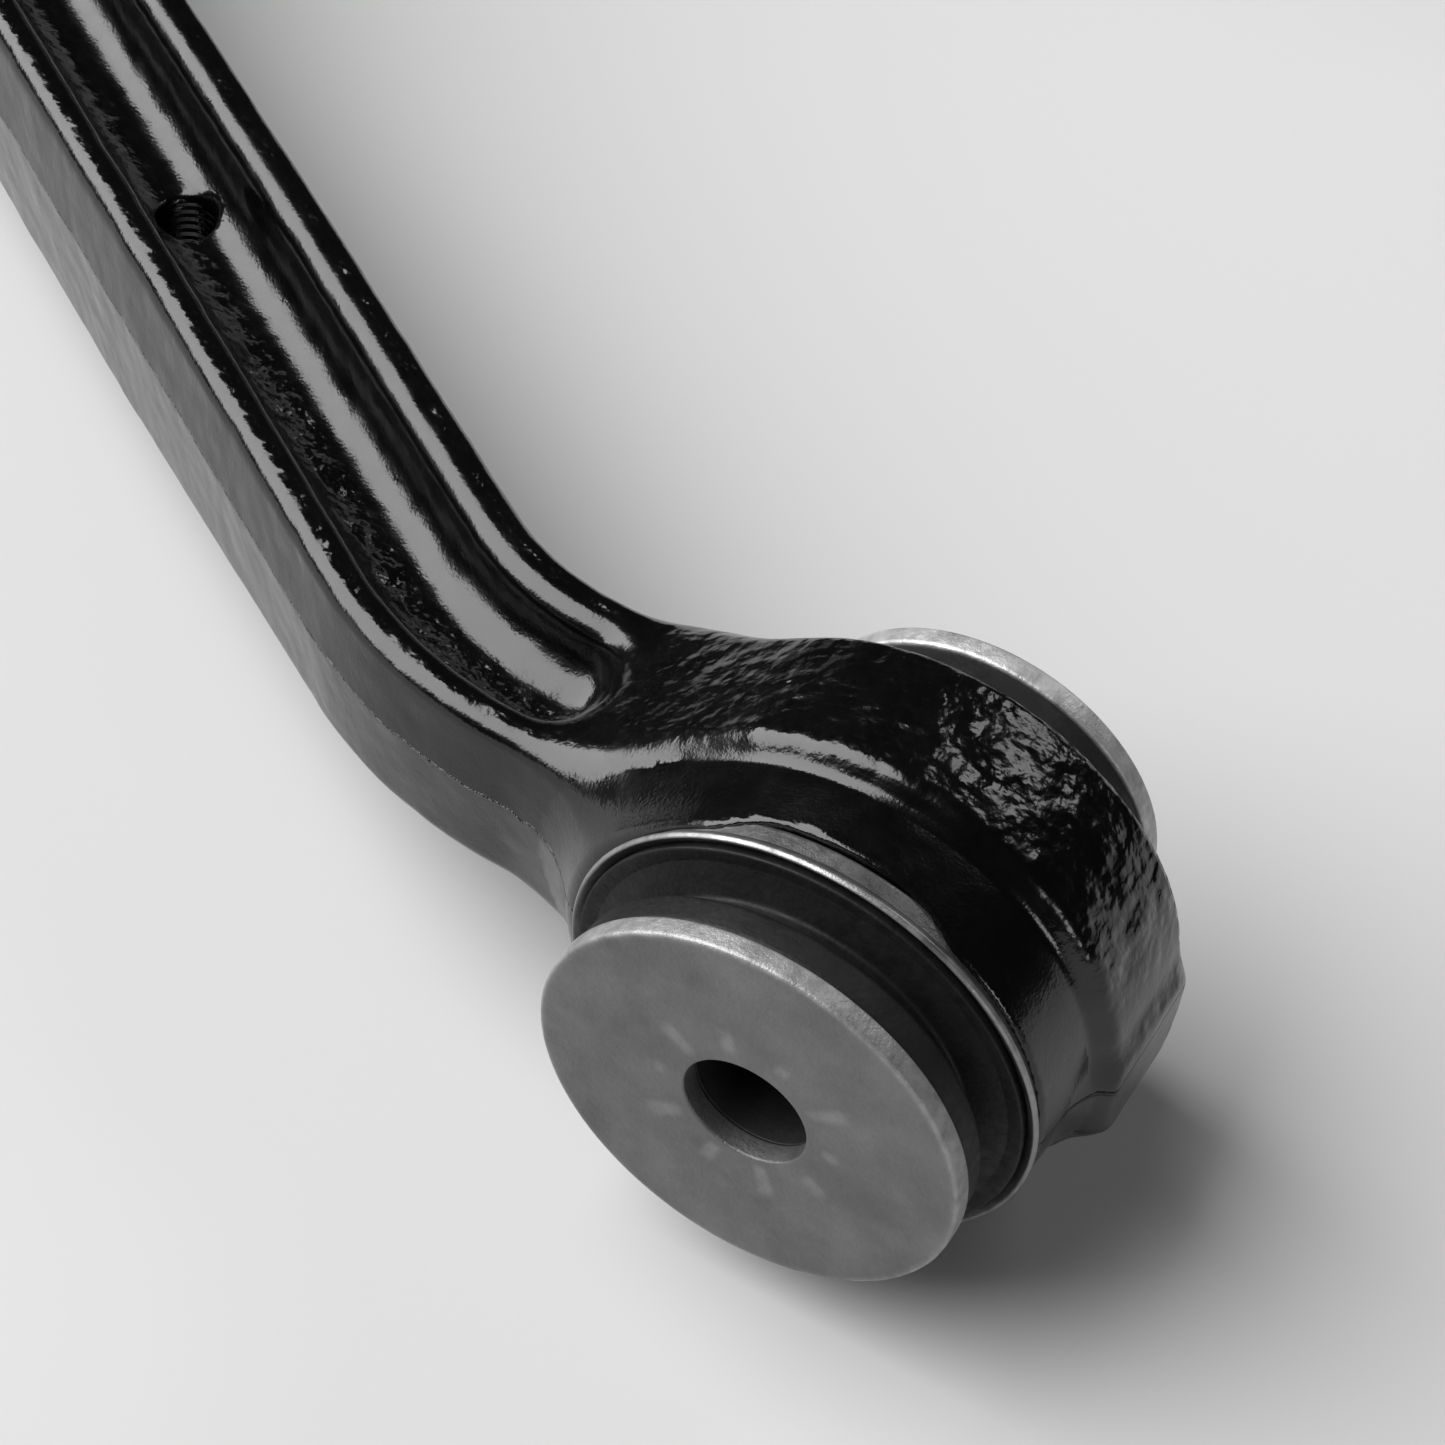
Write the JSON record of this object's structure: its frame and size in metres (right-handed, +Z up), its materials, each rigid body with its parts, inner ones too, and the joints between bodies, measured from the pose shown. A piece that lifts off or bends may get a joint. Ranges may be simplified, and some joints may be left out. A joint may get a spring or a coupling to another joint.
{
  "type": "suspension control arm",
  "caption": "Forged A-shaped suspension control arm with pocketed I-section legs, flanged rubber pivot bushes and a press-in ball joint with a castle nut.",
  "frame": {"origin": "bottom centre of the part's box, in the plane that the two eyes and the ball joint's lower rim stand on", "axes": "X along the pivot axis, the front bush at -X; Y from the pivot axis to the ball joint; Z up along the ball stud"},
  "size_m": [0.354, 0.306, 0.104],
  "materials": {
    "black_paint": "gloss black over a forged skin",
    "plate_steel": "matte grey phosphated, fine grain",
    "sleeve_steel": "satin, rolled",
    "black_rubber": "matte moulded",
    "zinc_steel": "zinc plated",
    "forged_steel": "dark phosphated, turned",
    "spring_steel": "blued",
    "polymer": "natural moulded"
  },
  "bodies": {
    "arm": {"arm_forging": "black_paint", "front_bush_outer_sleeve": "sleeve_steel", "front_bush_rubber": "black_rubber", "rear_bush_outer_sleeve": "sleeve_steel", "rear_bush_rubber": "black_rubber", "ball_joint_housing": "forged_steel", "ball_joint_pressure_seat": "polymer", "ball_joint_preload_washer": "spring_steel", "ball_joint_cover": "zinc_steel", "ball_joint_retaining_ring": "spring_steel", "dust_boot": "black_rubber", "boot_lower_ring": "spring_steel"},
    "front_bush_core": {"front_bush_inner_sleeve": "zinc_steel", "front_bush_outboard_plate": "plate_steel", "front_bush_inboard_plate": "plate_steel"},
    "rear_bush_core": {"rear_bush_inner_sleeve": "zinc_steel", "rear_bush_outboard_plate": "plate_steel", "rear_bush_inboard_plate": "plate_steel"},
    "bearing": {"ball_joint_bearing": "polymer"},
    "stud_tilt": {"boot_upper_ring": "spring_steel"},
    "stud": {"ball_stud": "forged_steel", "castle_nut": "zinc_steel", "cotter_pin": "zinc_steel"}
  },
  "joints": [
    {"name": "front_bush_twist", "type": "hinge", "parent": "arm", "child": "front_bush_core", "pos_m": [-0.15, -0.121, 0.031], "axis": [1, 0, 0], "range_deg": [-30, 30], "stiffness_Nm_per_rad": 30},
    {"name": "rear_bush_twist", "type": "hinge", "parent": "arm", "child": "rear_bush_core", "pos_m": [0.15, -0.121, 0.031], "axis": [1, 0, 0], "range_deg": [-30, 30], "stiffness_Nm_per_rad": 30},
    {"name": "stud_travel_tilt", "type": "hinge", "parent": "arm", "child": "bearing", "pos_m": [0, 0.124, 0.031], "axis": [1, 0, 0], "range_deg": [-20, 20], "deforming": ["dust_boot"]},
    {"name": "stud_side_tilt", "type": "hinge", "parent": "bearing", "child": "stud_tilt", "pos_m": [0, 0.124, 0.031], "axis": [0, 1, 0], "range_deg": [-8, 8], "deforming": ["dust_boot"]},
    {"name": "stud_spin", "type": "hinge", "parent": "stud_tilt", "child": "stud", "pos_m": [0, 0.124, 0.031], "axis": [0, 0, 1], "continuous": true}
  ]
}
